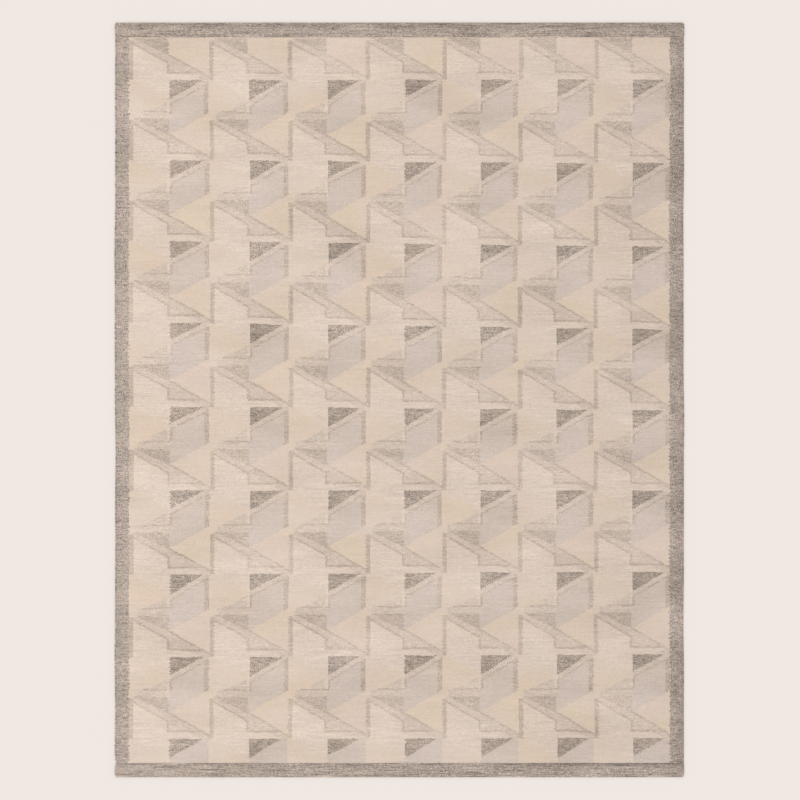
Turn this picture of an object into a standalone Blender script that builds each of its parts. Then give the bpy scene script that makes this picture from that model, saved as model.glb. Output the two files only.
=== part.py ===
"""A hand-woven flatweave area rug: heathered wool wefts packed over cotton warps.

Metres, +Z up. The origin is the middle of the underside and +Y runs along the warps.
The cloth has a weft skin on each face with the warps between them. The grey side borders
turn round a selvedge cord, and both ends are woven finer, turned under and slip-stitched.
The taupe outlines of the pattern are wefts inlaid in the face, one connected run per row.
"""

import math

import bmesh
import bpy

# Overall size and the parts of the face
RUG_WIDTH = 2.760
RUG_LENGTH = 3.660
LEFT_BORDER = 0.068
RIGHT_BORDER = 0.063
TOP_BAND = 0.072
BOTTOM_BAND = 0.070

# Cloth
GAP = 0.0003  # clearance between pieces that touch
FIELD_SKIN = 0.0018  # weft over each face of the warps in the field and side borders
HEM_SKIN = 0.0011  # the finer weft of the end bands
WARP_THICKNESS = 0.0012
SIDE_TURN = 0.0020  # weft turning back round the outermost warp of its area

# Selvedges
SELVEDGE_DIAMETER = 0.0072
CORD_DIAMETER = 0.0040
SELVEDGE_WEB = 0.0012  # weft between the cord's channel and the first warp

# Folded hems
HEM_RISE = 0.020  # length over which the cloth climbs on to its turned-under flap
FLAP_SETBACK = 0.006  # from the top of that rise to the flap's edge
HEM_END_WALL = 0.006  # closed cloth at each end of a hem
CORNER_RADIUS = 0.010
RISE_STEPS = 6
FOLD_STEPS = 10
CORNER_STEPS = 6
BORE_SIDES = 16
STRAIGHT = 1e-6  # sine of the smallest turn that counts as a corner

# Hem stitching
THREAD_DIAMETER = 0.0010
STITCH_PITCH = 0.040
STITCH_END_MARGIN = 0.012

# Pattern: seven columns and nine rows of one motif
COLUMNS = 7
ROWS = 9
TOP_CLEARANCE = 0.0042  # from the first row's wedges to the field's top edge
BOTTOM_MARGIN = 0.1175  # from the last row's corners to the field's bottom edge
CORNER_SHARE = 0.5065  # where in its column a dark triangle's corner stands
COLUMN_DRIFT = 0.068  # how far the weaver's columns crowd towards the right
SKEW_MEAN = 0.003  # the rows sink this much towards the right, per metre
SKEW_WAVE = 0.010  # and sway about it
SKEW_PERIOD = 8.0  # rows
SKEW_PHASE = 0.6

# The outline wefts of one motif
INLAY_DEPTH = 0.0009
EDGE_MARGIN = 0.0015  # field wefts left outside the first and last outline
SLANT = math.tan(math.radians(30.0))  # fall of the slant lines in a column of mean width
BAR_WIDTH = 0.0195
BAR_RISE = 0.0102  # from the top of the slant line that meets a bar to the bar's end
LINE_WIDTH = 0.0100  # measured up the warps
STEM_LEFT = 0.0140  # left side of the short upright, from the dark triangle's corner
STEM_WIDTH = 0.0110
FOOT_BOTTOM = 0.0305  # underside of the short level line
WEDGE_STEP = 0.0090  # the wedge's top above the bar's end
WEDGE_LEFT = 0.0057  # from the bar to the wedge's point
WEDGE_RIGHT = 0.0050  # from the wedge's right side to the dark triangle's corner
BAND_DROP = 0.0430  # the upper slant line lies this far below the lower one's run

CLOTH_THICKNESS = 2 * FIELD_SKIN + 2 * GAP + WARP_THICKNESS
HEM_LAYER = 2 * HEM_SKIN + 2 * GAP + WARP_THICKNESS
HEM_THICKNESS = 2 * HEM_LAYER + GAP
WARP_SLOT = WARP_THICKNESS + 2 * GAP

FIELD_LEFT = -RUG_WIDTH / 2 + LEFT_BORDER
FIELD_RIGHT = RUG_WIDTH / 2 - RIGHT_BORDER
FIELD_TOP = RUG_LENGTH / 2 - TOP_BAND
FIELD_BOTTOM = -RUG_LENGTH / 2 + BOTTOM_BAND

WOOL_CREAM = ((0.70, 0.58, 0.47), 0.92)
WOOL_TAUPE = ((0.55, 0.46, 0.38), 0.94)
WOOL_GREY = ((0.40, 0.34, 0.29), 0.94)
COTTON = ((0.82, 0.79, 0.72), 0.88)
SEWING_THREAD = ((0.46, 0.41, 0.36), 0.80)


def clear_scene():
    for item in list(bpy.data.objects):
        bpy.data.objects.remove(item, do_unlink=True)


def material(name, finish):
    colour, roughness = finish
    made = bpy.data.materials.new(name)
    made.use_nodes = True
    shader = made.node_tree.nodes["Principled BSDF"]
    shader.inputs["Base Color"].default_value = (*colour, 1.0)
    shader.inputs["Roughness"].default_value = roughness
    shader.inputs["Metallic"].default_value = 0.0
    return made


def place(name, mesh, finish):
    """A new object for one piece, with a material of its own."""
    mesh.materials.append(material(name, finish))
    piece = bpy.data.objects.new(name, mesh)
    bpy.context.collection.objects.link(piece)
    return piece


def prism(name, outline, axis, low, high):
    """A closed prism of an outline in the plane across an axis.

    The outline's points are (y, z) for X, (x, z) for Y and (x, y) for Z.
    """
    ends = {
        "X": lambda p, at: (at, p[0], p[1]),
        "Y": lambda p, at: (p[0], at, p[1]),
        "Z": lambda p, at: (p[0], p[1], at),
    }
    bm = bmesh.new()
    near = [bm.verts.new(ends[axis](p, low)) for p in outline]
    far = [bm.verts.new(ends[axis](p, high)) for p in outline]
    bm.faces.new(near)
    bm.faces.new(list(reversed(far)))
    count = len(outline)
    for i in range(count):
        j = (i + 1) % count
        bm.faces.new((near[j], near[i], far[i], far[j]))
    bmesh.ops.recalc_face_normals(bm, faces=bm.faces)
    bmesh.ops.triangulate(bm, faces=[f for f in bm.faces if len(f.verts) > 4])
    mesh = bpy.data.meshes.new(name)
    bm.to_mesh(mesh)
    bm.free()
    return mesh


def box_outline(left, right, bottom, top):
    return [(left, bottom), (right, bottom), (right, top), (left, top)]


def arc(centre, radius, start, end, steps):
    """Points on an arc, both ends included. Angles are in degrees, anticlockwise from +X."""
    turn = [math.radians(start + (end - start) * i / steps) for i in range(steps + 1)]
    return [(centre[0] + radius * math.cos(a), centre[1] + radius * math.sin(a)) for a in turn]


def ring(centre, radius):
    return arc(centre, radius, 0, 360 - 360 / BORE_SIDES, BORE_SIDES - 1)


def cut(piece, name, mesh, operation="DIFFERENCE"):
    cutter = bpy.data.objects.new(name, mesh)
    bpy.context.collection.objects.link(cutter)
    cutter.hide_render = True
    cutter.display_type = "WIRE"
    boolean = piece.modifiers.new(name, "BOOLEAN")
    boolean.operation = operation
    boolean.solver = "EXACT"
    boolean.object = cutter


def meet(first, second, third, fourth):
    """Where the line through the first two points crosses the line through the others.

    Two edges of an outline that run straight on have no crossing, and meet at their shared end.
    """
    ax, ay = second[0] - first[0], second[1] - first[1]
    bx, by = fourth[0] - third[0], fourth[1] - third[1]
    turn = ax * by - ay * bx
    if abs(turn) < STRAIGHT * math.hypot(ax, ay) * math.hypot(bx, by):
        return second
    share = ((third[0] - first[0]) * by - (third[1] - first[1]) * bx) / turn
    return (first[0] + ax * share, first[1] + ay * share)


def shifted(start, end, distance):
    """A straight edge moved to its right-hand side."""
    dx, dy = end[0] - start[0], end[1] - start[1]
    length = math.hypot(dx, dy)
    ox, oy = dy / length * distance, -dx / length * distance
    return (start[0] + ox, start[1] + oy), (end[0] + ox, end[1] + oy)


def outset(outline, distance):
    """An anticlockwise outline grown by a distance, with its corners kept sharp."""
    count = len(outline)
    edges = [shifted(outline[i], outline[(i + 1) % count], distance) for i in range(count)]
    return [meet(*edges[i - 1], *edges[i]) for i in range(count)]


def thickened(path, half):
    """The outline of a strip that runs along an open path, half a thickness to each side."""
    sides = []
    for way in (path, list(reversed(path))):
        edges = [shifted(way[i], way[i + 1], half) for i in range(len(way) - 1)]
        corners = [meet(*before, *after) for before, after in zip(edges, edges[1:])]
        sides += [edges[0][0], *corners, edges[-1][1]]
    return sides


def hem_path(inner_edge, end, stop_short):
    """The middle of a hem's cloth, as (distance from the rug's middle, height), for an end at +Y.

    It climbs from the field's level, runs out to the fold and comes back along the floor. The
    last stretch, the flap, ends this much short of the flap's edge.
    """
    field_middle = CLOTH_THICKNESS / 2
    upper = HEM_THICKNESS - HEM_LAYER / 2
    lower = HEM_LAYER / 2
    radius = (upper - lower) / 2
    fold = end - HEM_THICKNESS / 2
    points = []
    for i in range(RISE_STEPS + 1):
        share = i / RISE_STEPS
        smooth = share * share * (3 - 2 * share)
        points.append((inner_edge + HEM_RISE * share, field_middle + (upper - field_middle) * smooth))
    points += arc((fold, HEM_THICKNESS / 2), radius, 90, -90, FOLD_STEPS)
    points.append((inner_edge + HEM_RISE + FLAP_SETBACK + stop_short, lower))
    return points


def mirrored(points):
    return [(-y, z) for y, z in points]


def warps(name, left, right):
    """One sheet of warps, from flap to flap, ending inside both hems."""
    short = SIDE_TURN + GAP
    top = hem_path(FIELD_TOP, RUG_LENGTH / 2, short)
    bottom = mirrored(hem_path(-FIELD_BOTTOM, RUG_LENGTH / 2, short))
    path = list(reversed(bottom)) + top
    return place(name, prism(name, thickened(path, WARP_THICKNESS / 2), "X", left, right), COTTON)


def hem_band(name, inner_edge, side):
    """The folded end band. side is 1 at the top end and -1 at the bottom end."""
    reach = RUG_WIDTH / 2 + HEM_END_WALL
    outline = thickened(hem_path(inner_edge + GAP / 2, RUG_LENGTH / 2, 0.0), HEM_LAYER / 2)
    channel_path = hem_path(inner_edge + GAP / 2, RUG_LENGTH / 2, SIDE_TURN)
    channel_path.insert(0, (inner_edge - HEM_END_WALL, channel_path[0][1]))
    channel = thickened(channel_path, WARP_SLOT / 2)
    if side < 0:
        outline, channel = mirrored(outline), mirrored(channel)
    band = place(name, prism(name, outline, "X", -reach, reach), WOOL_GREY)
    inside = RUG_WIDTH / 2 - HEM_END_WALL
    cut(band, name + "_channel", prism(name + "_channel", channel, "X", -inside, inside))
    cut(band, name + "_corners", rug_plan(name + "_corners"), "INTERSECT")
    return band


def rug_plan(name):
    """The rug's outline seen from above, with rounded corners, tall enough to trim a hem."""
    x, y = RUG_WIDTH / 2, RUG_LENGTH / 2 + GAP / 3
    r = CORNER_RADIUS
    centres = [(x - r, y - r), (r - x, y - r), (r - x, r - y), (x - r, r - y)]
    outline = []
    for quarter, centre in enumerate(centres):
        outline += arc(centre, r, 90 * quarter, 90 * (quarter + 1), CORNER_STEPS)
    return prism(name, outline, "Z", -HEM_THICKNESS, 2 * HEM_THICKNESS)


def side_border(name, outer, inner):
    """A side border's wefts: a skin on each face of its warps, turned round the selvedge cord."""
    way = 1 if inner > outer else -1
    radius = SELVEDGE_DIAMETER / 2
    cord_x = outer + way * radius
    low, high = FIELD_BOTTOM + GAP / 2, FIELD_TOP - GAP / 2
    join = math.degrees(math.asin((CLOTH_THICKNESS - radius) / radius))
    bead = arc((0.0, radius), radius, join, 270, 2 * FOLD_STEPS)
    edge = abs(inner - cord_x) - GAP / 2
    outline = [(cord_x + way * x, z) for x, z in bead]
    outline += [(cord_x + way * edge, 0.0), (cord_x + way * edge, CLOTH_THICKNESS)]
    border = place(name, prism(name, outline, "Y", low, high), WOOL_GREY)
    bore = ring((cord_x, radius), CORD_DIAMETER / 2 + GAP)
    cut(border, name + "_bore", prism(name + "_bore", bore, "Y", low - GAP, high + GAP))
    start, end = border_warp_span(outer, inner)
    slot = box_outline(start - GAP, end + GAP, FIELD_SKIN, FIELD_SKIN + WARP_SLOT)
    cut(border, name + "_slot", prism(name + "_slot", slot, "Y", low - GAP, high + GAP))
    return border


def border_warp_span(outer, inner):
    """The left and right sides of a border's warps."""
    way = 1 if inner > outer else -1
    first = outer + way * (SELVEDGE_DIAMETER + SELVEDGE_WEB + GAP)
    last = inner - way * (SIDE_TURN + GAP)
    return min(first, last), max(first, last)


def selvedge_cord(name, x):
    low, high = FIELD_BOTTOM + GAP / 2, FIELD_TOP - GAP / 2
    outline = ring((x, SELVEDGE_DIAMETER / 2), CORD_DIAMETER / 2)
    return place(name, prism(name, outline, "Y", low, high), COTTON)


def column_edge(column):
    """The left side of a column; the columns crowd a little towards the right."""
    left, right = FIELD_LEFT + EDGE_MARGIN, FIELD_RIGHT - EDGE_MARGIN
    share = column / COLUMNS
    return left + (right - left) * (share + COLUMN_DRIFT * share * (1 - share) ** 2)


def mean_column():
    return (column_edge(COLUMNS) - column_edge(0)) / COLUMNS


def bar_height():
    """How far a bar's end stands above its row's corners: past a slant line one column long."""
    return SLANT * mean_column() - BAND_DROP + LINE_WIDTH + BAR_RISE


def row_level(row):
    """The height up the rug of a row's dark-triangle corners."""
    first = FIELD_TOP - TOP_CLEARANCE - WEDGE_STEP - bar_height()
    pitch = (first - FIELD_BOTTOM - BOTTOM_MARGIN) / (ROWS - 1)
    return first - row * pitch


def skewed(point, row):
    """A point moved as the weaver's rows sway."""
    lean = SKEW_MEAN + SKEW_WAVE * math.sin(2 * math.pi * (row - SKEW_PHASE) / SKEW_PERIOD)
    return (point[0], point[1] - lean * point[0])


def slant_of(column):
    """The fall of a column's slant lines: the same height over the column's own width."""
    return SLANT * mean_column() / (column_edge(column + 1) - column_edge(column))


def falling(point, x, slant, over=0.0):
    """The height at x of a pattern line that falls to the right through a point."""
    return point[1] - slant * (x - point[0]) + over


def outline_run(row):
    """One row's outline wefts as a single anticlockwise outline, seen from above.

    In each column they are a bar at its left, a slant line down to a short upright, its level
    foot, and a second slant line that comes from under a solid wedge and ends in the next bar.
    """
    level = row_level(row)
    foot_bottom = level + FOOT_BOTTOM
    foot_top = foot_bottom + LINE_WIDTH
    bar_top = level + bar_height()
    lower, upper = [], []
    for column in range(COLUMNS):
        left, right = column_edge(column), column_edge(column + 1)
        slant = slant_of(column)
        corner = left + CORNER_SHARE * (right - left)
        bar = left + BAR_WIDTH
        stem, stem_right = corner - STEM_LEFT, corner - STEM_LEFT + STEM_WIDTH
        wedge = corner - WEDGE_RIGHT
        tip = (right + BAR_WIDTH, level)
        shoulder = (corner, falling(tip, corner, slant) - BAND_DROP)
        foot_ends = [(tip[0] - (height - level) / slant, height) for height in (foot_bottom, foot_top)]
        if column == 0:
            lower.append((left, level + slant * BAR_WIDTH))
        lower += [(bar, level), (bar, falling(shoulder, bar, slant))]
        lower += [(stem, falling(shoulder, stem, slant)), (stem, foot_bottom), foot_ends[0]]
        if column == COLUMNS - 1:
            lower.append((right, falling(tip, right, slant)))
        over = [(left, bar_top), (bar, bar_top), (bar, falling(shoulder, bar, slant, LINE_WIDTH))]
        over += [(stem_right, falling(shoulder, stem_right, slant, LINE_WIDTH)), (stem_right, foot_top)]
        over += [foot_ends[1], (wedge, falling(tip, wedge, slant)), (bar + WEDGE_LEFT, bar_top + WEDGE_STEP)]
        over += [(wedge, bar_top + WEDGE_STEP), (wedge, falling(tip, wedge, slant, LINE_WIDTH))]
        over.append((right, falling(tip, right, slant, LINE_WIDTH)))
        upper += over
    return [skewed(point, row) for point in lower + list(reversed(upper))]


def field_wefts(runs):
    """The cream field: both skins and the turns at its sides, with a groove for each outline run."""
    low, high = FIELD_BOTTOM + GAP / 2, FIELD_TOP - GAP / 2
    left, right = FIELD_LEFT + GAP / 2, FIELD_RIGHT - GAP / 2
    section = box_outline(left, right, 0.0, CLOTH_THICKNESS)
    field = place("field_wefts", prism("field_wefts", section, "Y", low, high), WOOL_CREAM)
    slot = box_outline(left + SIDE_TURN, right - SIDE_TURN, FIELD_SKIN, FIELD_SKIN + WARP_SLOT)
    cut(field, "warp_slot", prism("warp_slot", slot, "Y", low - GAP, high + GAP))
    floor = CLOTH_THICKNESS - INLAY_DEPTH - GAP
    for row, run in enumerate(runs):
        label = f"groove_{row + 1}"
        groove = prism(label, outset(run, GAP), "Z", floor, CLOTH_THICKNESS + GAP)
        cut(field, label, groove)
    return field


def hem_thread(name, inner_edge, side):
    """Slip stitches between the back of the cloth and the flap's edge, in the hollow of the rise."""
    radius = THREAD_DIAMETER / 2
    flap_edge = inner_edge + HEM_RISE + FLAP_SETBACK
    near = inner_edge + HEM_RISE / 2
    far = flap_edge - GAP - radius
    path = hem_path(inner_edge, RUG_LENGTH / 2, 0.0)
    middle = path[RISE_STEPS // 2][1]
    near_level = middle - HEM_LAYER / 2 - GAP - 2 * radius
    far_level = HEM_LAYER / 2
    reach = RUG_WIDTH / 2 - STITCH_END_MARGIN
    count = 2 * int(reach / STITCH_PITCH)
    step = reach / count
    curve = bpy.data.curves.new(name, "CURVE")
    curve.dimensions = "3D"
    curve.bevel_depth = radius
    curve.bevel_resolution = 0
    curve.use_fill_caps = True
    spline = curve.splines.new("POLY")
    spline.points.add(2 * count)
    for i, point in enumerate(spline.points):
        y, z = (near, near_level) if i % 2 else (far, far_level)
        point.co = (-reach + i * step, side * y, z, 1.0)
    return place(name, curve, SEWING_THREAD)


def build():
    clear_scene()
    runs = [outline_run(row) for row in range(ROWS)]
    field_wefts(runs)
    for row, run in enumerate(runs):
        name = f"outline_wefts_row_{row + 1}"
        place(name, prism(name, run, "Z", CLOTH_THICKNESS - INLAY_DEPTH, CLOTH_THICKNESS), WOOL_TAUPE)
    left, right = -RUG_WIDTH / 2, RUG_WIDTH / 2
    side_border("left_border_wefts", left, FIELD_LEFT)
    side_border("right_border_wefts", right, FIELD_RIGHT)
    selvedge_cord("left_selvedge_cord", left + SELVEDGE_DIAMETER / 2)
    selvedge_cord("right_selvedge_cord", right - SELVEDGE_DIAMETER / 2)
    inset = GAP / 2 + SIDE_TURN + GAP
    warps("field_warps", FIELD_LEFT + inset, FIELD_RIGHT - inset)
    warps("left_border_warps", *border_warp_span(left, FIELD_LEFT))
    warps("right_border_warps", *border_warp_span(right, FIELD_RIGHT))
    hem_band("top_hem_band", FIELD_TOP, 1)
    hem_band("bottom_hem_band", -FIELD_BOTTOM, -1)
    hem_thread("top_hem_thread", FIELD_TOP, 1)
    hem_thread("bottom_hem_thread", -FIELD_BOTTOM, -1)


build()
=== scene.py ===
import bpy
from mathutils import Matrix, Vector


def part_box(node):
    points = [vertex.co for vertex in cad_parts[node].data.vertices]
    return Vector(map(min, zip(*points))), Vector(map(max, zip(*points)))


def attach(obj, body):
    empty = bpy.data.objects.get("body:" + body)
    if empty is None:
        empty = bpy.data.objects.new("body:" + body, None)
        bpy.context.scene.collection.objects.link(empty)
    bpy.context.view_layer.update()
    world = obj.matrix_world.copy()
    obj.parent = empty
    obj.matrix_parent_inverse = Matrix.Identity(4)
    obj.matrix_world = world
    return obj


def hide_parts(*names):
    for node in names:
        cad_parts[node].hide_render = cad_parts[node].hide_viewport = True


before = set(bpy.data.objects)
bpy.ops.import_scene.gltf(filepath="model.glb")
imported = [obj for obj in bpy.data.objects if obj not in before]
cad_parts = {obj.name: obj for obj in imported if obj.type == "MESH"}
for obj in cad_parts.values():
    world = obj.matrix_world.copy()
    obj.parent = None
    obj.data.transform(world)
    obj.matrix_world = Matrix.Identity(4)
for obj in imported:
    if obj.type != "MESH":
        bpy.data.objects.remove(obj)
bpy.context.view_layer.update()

"""The looks of a hand-woven flatweave rug.

The cloth is built rib by rib. Each warp makes one rib that runs along Y, and along it every
stretch of one yarn is a run of wefts that starts and ends on a pick, so that a slant is a
stair of picks, as in real tapestry. Runs of the same yarn make one closed piece, which goes
right through the cloth, because both faces of a flatweave show the same pattern.
"""

import math
from bisect import bisect_left, bisect_right
from itertools import chain

import bpy
import numpy as np
from mathutils import Vector

# Places, from the frame
FIELD_LOW, FIELD_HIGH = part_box("field_wefts")
LEFT_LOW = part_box("left_border_wefts")[0]
RIGHT_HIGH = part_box("right_border_wefts")[1]
HEM_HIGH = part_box("top_hem_band")[1]
GAP = 0.0003  # the CAD's clearance between pieces that touch
FIELD_LEFT, FIELD_RIGHT = FIELD_LOW.x - GAP / 2, FIELD_HIGH.x + GAP / 2
FIELD_BOTTOM, FIELD_TOP = FIELD_LOW.y - GAP / 2, FIELD_HIGH.y + GAP / 2
RUG_LEFT, RUG_RIGHT = LEFT_LOW.x, RIGHT_HIGH.x
RUG_END = HEM_HIGH.y - GAP / 3
CLOTH = FIELD_HIGH.z
HEM_HEIGHT = HEM_HIGH.z

# The weave
RIBS = 499  # from one round edge to the other
PICKS = 1600  # steps of the pattern, from hem to hem
SHEET_STEP = 32  # picks between the cross lines that every rib has
NOTCH_RIBS, NOTCH_STEP = 12, 3  # the ribs that bend in at the notch, and their picks from point to point
RIB_RISE = 0.0009  # from the valley between two ribs to a rib's crest
SELVEDGE = 0.0072  # diameter of the round edge
BEAD_STEPS = 9  # points round it
BEAD_OPEN = 150  # degrees either way from the outermost point
FLOAT_LENGTH = 0.0026  # along a rib, one visible float of weft
RIGHT_BORDER_MORE = 0.0055  # the real right border is this much wider than the CAD's
RIBS_LEFT, RIBS_RIGHT = RUG_LEFT + SELVEDGE, RUG_RIGHT - SELVEDGE
RIB = (RIBS_RIGHT - RIBS_LEFT) / RIBS
PICK = (FIELD_TOP - FIELD_BOTTOM) / PICKS
LINES = 2 * RIBS + 1  # of corners: a valley, a crest, a valley and so on

# How the yarns of two areas meet: in teeth a few picks long, some of them loose
TOOTH_PICKS = 4
TOOTH_RIBS = 8
TOOTH_REACH = (0.05, 0.25)  # ribs
STAIR_RIBS = 2  # a slant steps over this many ribs at a time
LOOSE_PICKS = 40
COMB_REACH = 0.7  # ribs, where the field meets a border

# The pattern, as the CAD lays it out
COLUMNS = 7
ROWS = 9
TOP_CLEARANCE = 0.0042  # from the first row's wedges to the field's top edge
BOTTOM_MARGIN = 0.1175  # from the last row's corners to the field's bottom edge
CORNER_SHARE = 0.5065  # where in its column a dark triangle's corner stands
COLUMN_DRIFT = 0.068  # how far the weaver's columns crowd towards the right
SKEW_MEAN = 0.003  # the rows sink this much towards the right, per metre
SKEW_WAVE = 0.010  # and up to this much more or less, from row to row
SKEW_PERIOD = 8.0  # rows
SKEW_PHASE = 0.6
EDGE_MARGIN = 0.0015  # field wefts left outside the first and last outline
SLANT = math.tan(math.radians(30.0))  # fall of the slant lines in a column of mean width
BAR_WIDTH = 0.0195
BAR_RISE = 0.0102  # from the top of the slant line that meets a bar to the bar's end
LINE_WIDTH = 0.0100  # measured up the warps
STEM_LEFT = 0.0140  # left side of the short upright, from the dark triangle's corner
STEM_WIDTH = 0.0110
FOOT_BOTTOM = 0.0305  # underside of the short level line
WEDGE_STEP = 0.0090  # the wedge's top above the bar's end
WEDGE_LEFT = 0.0057  # from the bar to the wedge's point
WEDGE_RIGHT = 0.0050  # from the wedge's right side to the dark triangle's corner
BAND_DROP = 0.0430  # the left slant line lies this far below the run of the right one

# The coloured areas, from a dark triangle's corner, in metres right and up
DARK_DROP = 0.0905  # height of the dark triangle's left side
BAND_LOW = 0.1155  # and the pale band below it reaches this far down
TILT_SPREAD = 0.07  # from motif to motif, in how steeply both rise to the right
TILT_LIMITS = (0.9, 1.16)
THIN_LINE = 0.0080  # under the pale band
LILAC_LINE_RIGHT = 0.0102  # the upright line at the lilac area's left
LILAC_LINE_END = 0.164
RIGHT_BAR = 0.0257  # left side of the right-hand bar, from the column's right
RIGHT_BAR_END = 0.0034
SAND_APEX = 0.1275  # where the sand triangle's upper side passes over the corner
PANEL_DIAGONAL = 0.0895  # the cream panel's lower edge passes this far below the corner
PANEL_SLOPE = 0.498
PALE_WEDGE_TOP = 0.0970  # and the upper edge of the greige wedge below it this far
PALE_WEDGE_SLOPE = 0.53
PALE_WEDGE_END = 0.1240
STRIP_TOP = 0.0315  # over the next row's wedges
STRIP_LEFT = 0.160
HAIR_LINE = 0.0065  # along the strip's top
HAIR_LEFT = 0.133
STEM_GROUND = 0.1575  # the cream strip below the stem ends this far down

# How the cloth really lies
NOTCH, NOTCH_LENGTH, NOTCH_WIDTH = 0.0060, 0.016, 0.06  # beside the lower left hem
BOW = 0.0055  # the middle rows lie this much higher
SPLAY = 0.0065  # the columns spread this much towards the ends
EDGE_TRIM = 0.0012  # the selvedges are pulled in by this
EDGE_SWAY = 0.0016  # the selvedges wave by about this, the ribs and the picks by the next two
RIB_SWAY = 0.0012
PICK_SWAY = 0.0014
SWELL_RISE = 0.00035  # and the face swells by this
CALM = 0.03  # beside the hems the picks lie straight

# The folded hems
HEM_RISE = 0.020  # length over which the cloth climbs on to its turned-under flap
FLAP_SETBACK = 0.006  # from the top of that rise to the flap's edge
RISE_STEPS = 5
FOLD_STEPS = 8
HEM_RIBS = 502
HEM_RIB_RISE = 0.00045
HEM_FLOAT = 0.0017  # the end bands are woven finer
CORNER_RADIUS = 0.010

# The twisted cord in each selvedge
CORD_STEP = 0.005
CORD_SIDES = 12
CORD_RADIUS = 0.0020
CORD_STRANDS = 3
STRAND_DEPTH = 0.14  # of the radius
CORD_TWIST = 0.050  # length of one turn

# The studio
FLOOR_RADIUS = 200.0
FLOOR_SIDES = 96
FLOOR_COLOUR = (240, 232, 226)
FLOOR_GAIN = 0.845  # from a display colour to the floor's own, under this light
WOOL_GAIN = 0.965  # and the same for the wools
WORLD = 0.845
KEY = 1.154  # W/m2
KEY_WAY = (6.0, -0.8, -14.0)  # the direction that it shines in
KEY_SPREAD = 24.0  # degrees
LENS, SENSOR = 85.0, 36.0  # mm
VIEW_WIDTH = 3.8776  # metres from side to side, at the rug's height
VIEW_MIDDLE = (0.0034, -0.0005)

# The yarns
CREAM, PEACH, SAND, LILAC, GREIGE, DARK, TAUPE, OUTLINE, WEDGE, BORDER_LEFT, BORDER_RIGHT = range(11)

rng = np.random.default_rng(11)
TILTS = np.clip(rng.normal(1.0, TILT_SPREAD, (ROWS, COLUMNS)), *TILT_LIMITS)


def column_edge(column):
    """Where a column of the pattern begins, counted from the left."""
    left, right = FIELD_LEFT + EDGE_MARGIN, FIELD_RIGHT - EDGE_MARGIN
    share = column / COLUMNS
    return left + (right - left) * (share + COLUMN_DRIFT * share * (1 - share) ** 2)


EDGES = np.array([column_edge(c) for c in range(COLUMNS + 1)])
MEAN_COLUMN = (EDGES[-1] - EDGES[0]) / COLUMNS
BAR_HEIGHT = SLANT * MEAN_COLUMN - BAND_DROP + LINE_WIDTH + BAR_RISE
MOTIF_HEIGHT = BAR_HEIGHT + WEDGE_STEP
FIRST_LEVEL = FIELD_TOP - TOP_CLEARANCE - MOTIF_HEIGHT
ROW_PITCH = (FIRST_LEVEL - FIELD_BOTTOM - BOTTOM_MARGIN) / (ROWS - 1)


def height_over(x, y, row):
    """How far a point lies above a row's corners, with the row's sway taken out."""
    lean = SKEW_MEAN + SKEW_WAVE * np.sin(2 * np.pi * (row - SKEW_PHASE) / SKEW_PERIOD)
    return y + lean * x - (FIRST_LEVEL - row * ROW_PITCH)


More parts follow.
